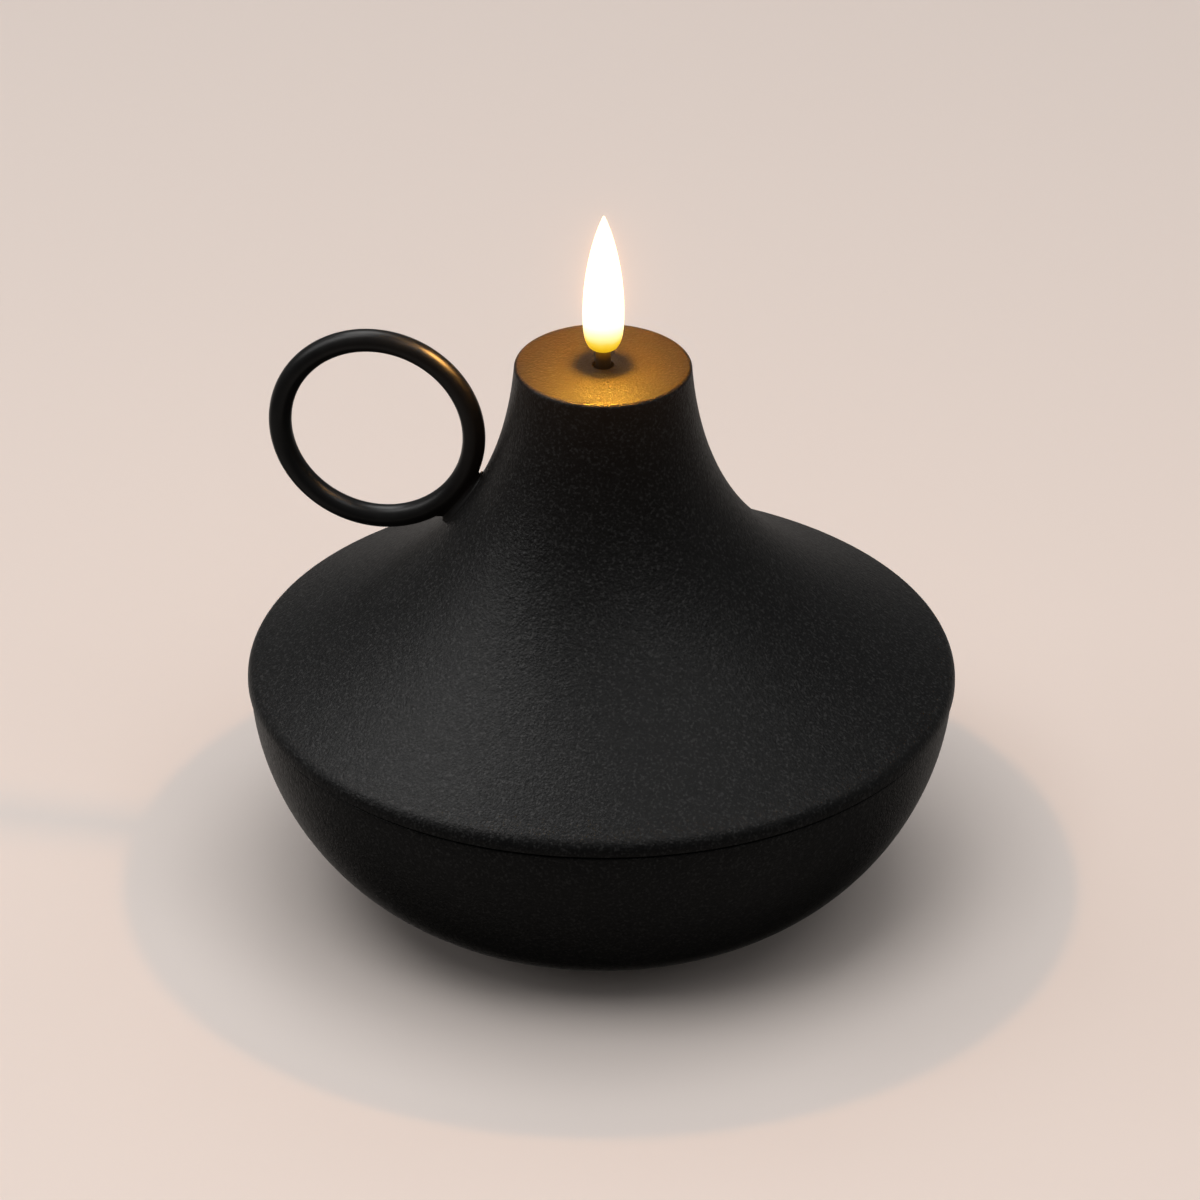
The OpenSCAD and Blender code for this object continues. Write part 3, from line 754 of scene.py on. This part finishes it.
def lights():
    world = bpy.data.worlds.new("world")
    scene.world = world
    world.use_nodes = True
    bg = world.node_tree.nodes["Background"]
    # an even sky; below the horizon it stands for the pale floor: warmer, brighter at a glancing angle on the far side, dark
    # straight down and under the far side of the lamp, where the floor lies in its shadow
    t = world.node_tree

    def node(kind, **kw):
        n = t.nodes.new(kind)
        for k, v in kw.items():
            setattr(n, k, v)
        return n

    def rise(value, a, b, top=1.0):
        n = node("ShaderNodeMapRange", interpolation_type="SMOOTHSTEP")
        for key, v in (("From Min", a), ("From Max", b), ("To Min", 0.0), ("To Max", top)):
            n.inputs[key].default_value = v
        t.links.new(value, n.inputs["Value"])
        return n.outputs["Result"]

    def calc(op, a, b):
        n = node("ShaderNodeMath", operation=op)
        for i, v in enumerate((a, b)):
            if isinstance(v, float):
                n.inputs[i].default_value = v
            else:
                t.links.new(v, n.inputs[i])
        return n.outputs[0]

    way = node("ShaderNodeTexCoord").outputs["Generated"]

    def along(v):
        n = node("ShaderNodeVectorMath", operation="DOT_PRODUCT")
        t.links.new(way, n.inputs[0])
        n.inputs[1].default_value = v
        return n.outputs["Value"]

    x, y, z = along(place(1.0, 0.0, 0.0)), along(place(0.0, 1.0, 0.0)), along(Vector((0.0, 0.0, 1.0)))
    near = calc("MULTIPLY", calc("ADD", rise(z, -0.22, -0.62, 0.21), calc("ADD", rise(z, -0.30, 0.45, 0.07), 0.04)), calc("ADD", rise(z, -0.99, -0.80, 0.70), 0.30))
    glow = calc("MULTIPLY", calc("MULTIPLY", rise(y, 0.2, 0.8, 0.38), rise(z, -0.05, -0.40)), calc("ADD", rise(x, 0.15, -0.35, 0.5), 0.75))
    shadow = calc("ADD", calc("MULTIPLY", rise(x, -0.05, 0.20, -0.95), rise(z, -0.56, -0.70)), 1.0)
    beyond = calc("MULTIPLY", calc("MULTIPLY", calc("ADD", glow, 0.11), rise(z, -0.76, -0.58)), shadow)
    total = calc("ADD", near, calc("MULTIPLY", calc("SUBTRACT", beyond, near), rise(y, -0.2, 0.3)))
    t.links.new(total, bg.inputs["Strength"])
    tint = node("ShaderNodeMix", data_type="RGBA")
    for key, c in (("A", (1.0, 0.99, 0.98, 1.0)), ("B", (1.0, 0.91, 0.84, 1.0))):
        [i for i in tint.inputs if i.name == key and i.enabled][0].default_value = c
    t.links.new(rise(z, 0.05, -0.25), [i for i in tint.inputs if i.name == "Factor" and i.enabled][0])
    t.links.new([o for o in tint.outputs if o.enabled][0], bg.inputs["Color"])
    floor_only = bpy.data.collections.new("floor_only")
    floor_only.objects.link(FLOOR)
    not_floor = bpy.data.collections.new("not_floor")
    not_floor.objects.link(FLOOR)
    not_floor.collection_objects[0].light_linking.link_state = "EXCLUDE"
    for k, (e, a, w) in enumerate(ON_LAMP):
        area("lamp_soft_%d" % k, e, a, w, (1.0, 0.99, 0.98)).light_linking.receiver_collection = not_floor
    for k, (e, a, w) in enumerate(ON_FLOOR):
        area("floor_soft_%d" % k, e, a, w).light_linking.receiver_collection = floor_only
    # the flame's light: soft on the flat top, its broad shine there, and its streak on the ring
    ring_only = bpy.data.collections.new("ring_only")
    not_ring = bpy.data.collections.new("not_ring")
    not_ring.objects.link(FLOOR)
    ring_only.objects.link(bpy.data.objects["ring_handle_skin"])
    for name in ("ring_handle_skin", "handle_saddle_skin"):
        not_ring.objects.link(bpy.data.objects[name])
    for c in not_ring.collection_objects:
        c.light_linking.link_state = "EXCLUDE"
    soft = point("flame_light", (0.0, 0.0, 0.1755), 0.0020, 1.06, (1.0, 0.315, 0.0))
    soft.visible_glossy = False
    soft.light_linking.receiver_collection = not_ring
    shine = point("flame_shine", (0.0, 0.0, 0.1755), 0.0022, 0.78, (1.0, 0.49, 0.030))
    shine.visible_diffuse = False
    shine.light_linking.receiver_collection = not_ring
    # the streak is bright on the near side of the ring and faint on its far side
    streak = point("ring_streak", (0.0, 0.0, 0.195), 0.016, 0.95, (1.0, 0.48, 0.11))
    streak.visible_diffuse = False
    streak.light_linking.receiver_collection = ring_only
    t = streak.data
    t.use_nodes = True
    t = t.node_tree
    reach = t.nodes.new("ShaderNodeMapRange")
    for key, v in (("From Min", 0.080), ("From Max", 0.110), ("To Min", 1.0), ("To Max", 0.25)):
        reach.inputs[key].default_value = v
    t.links.new(t.nodes.new("ShaderNodeLightPath").outputs["Ray Length"], reach.inputs["Value"])
    t.links.new(reach.outputs["Result"], [n for n in t.nodes if n.type == "EMISSION"][0].inputs["Strength"])
    # the warm light that the flame throws on the floor around the lamp, without a falloff by distance
    glow = point("floor_glow", (0.0, 0.0, 0.232), 0.006, 2.0, (0.18, 0.088, 0.034))
    t = glow.data
    t.use_nodes = True
    fall = t.node_tree.nodes.new("ShaderNodeLightFalloff")
    fall.inputs["Strength"].default_value = 1.0 / 0.232 ** 2
    em = [n for n in t.node_tree.nodes if n.type == "EMISSION"][0]
    t.node_tree.links.new(fall.outputs["Constant"], em.inputs["Strength"])
    glow.light_linking.receiver_collection = floor_only
    # the floor itself throws nothing back on the lamp, as in the photo's dark bowl
    FLOOR.visible_diffuse = False
    FLOOR.visible_glossy = False


lights()



def bloom():
    """the warm haze that the camera's lens puts round the flame"""
    scene.use_nodes = True
    t = scene.node_tree
    t.nodes.clear()
    layers = t.nodes.new("CompositorNodeRLayers")
    out = t.nodes.new("CompositorNodeComposite")
    g = t.nodes.new("CompositorNodeGlare")
    g.glare_type = "BLOOM"
    g.quality = "HIGH"
    for key, v in (("Threshold", 1.5), ("Smoothness", 0.1), ("Strength", 0.55), ("Size", 0.35), ("Saturation", 1.0), ("Tint", (1.0, 0.50, 0.22, 1.0))):
        if key in g.inputs:
            g.inputs[key].default_value = v
    t.links.new(layers.outputs["Image"], g.inputs["Image"])
    t.links.new(g.outputs["Image"], out.inputs["Image"])


bloom()

scene.view_settings.view_transform = "Standard"
scene.view_settings.look = "None"
scene.view_settings.exposure = 0.0
scene.view_settings.gamma = 1.0
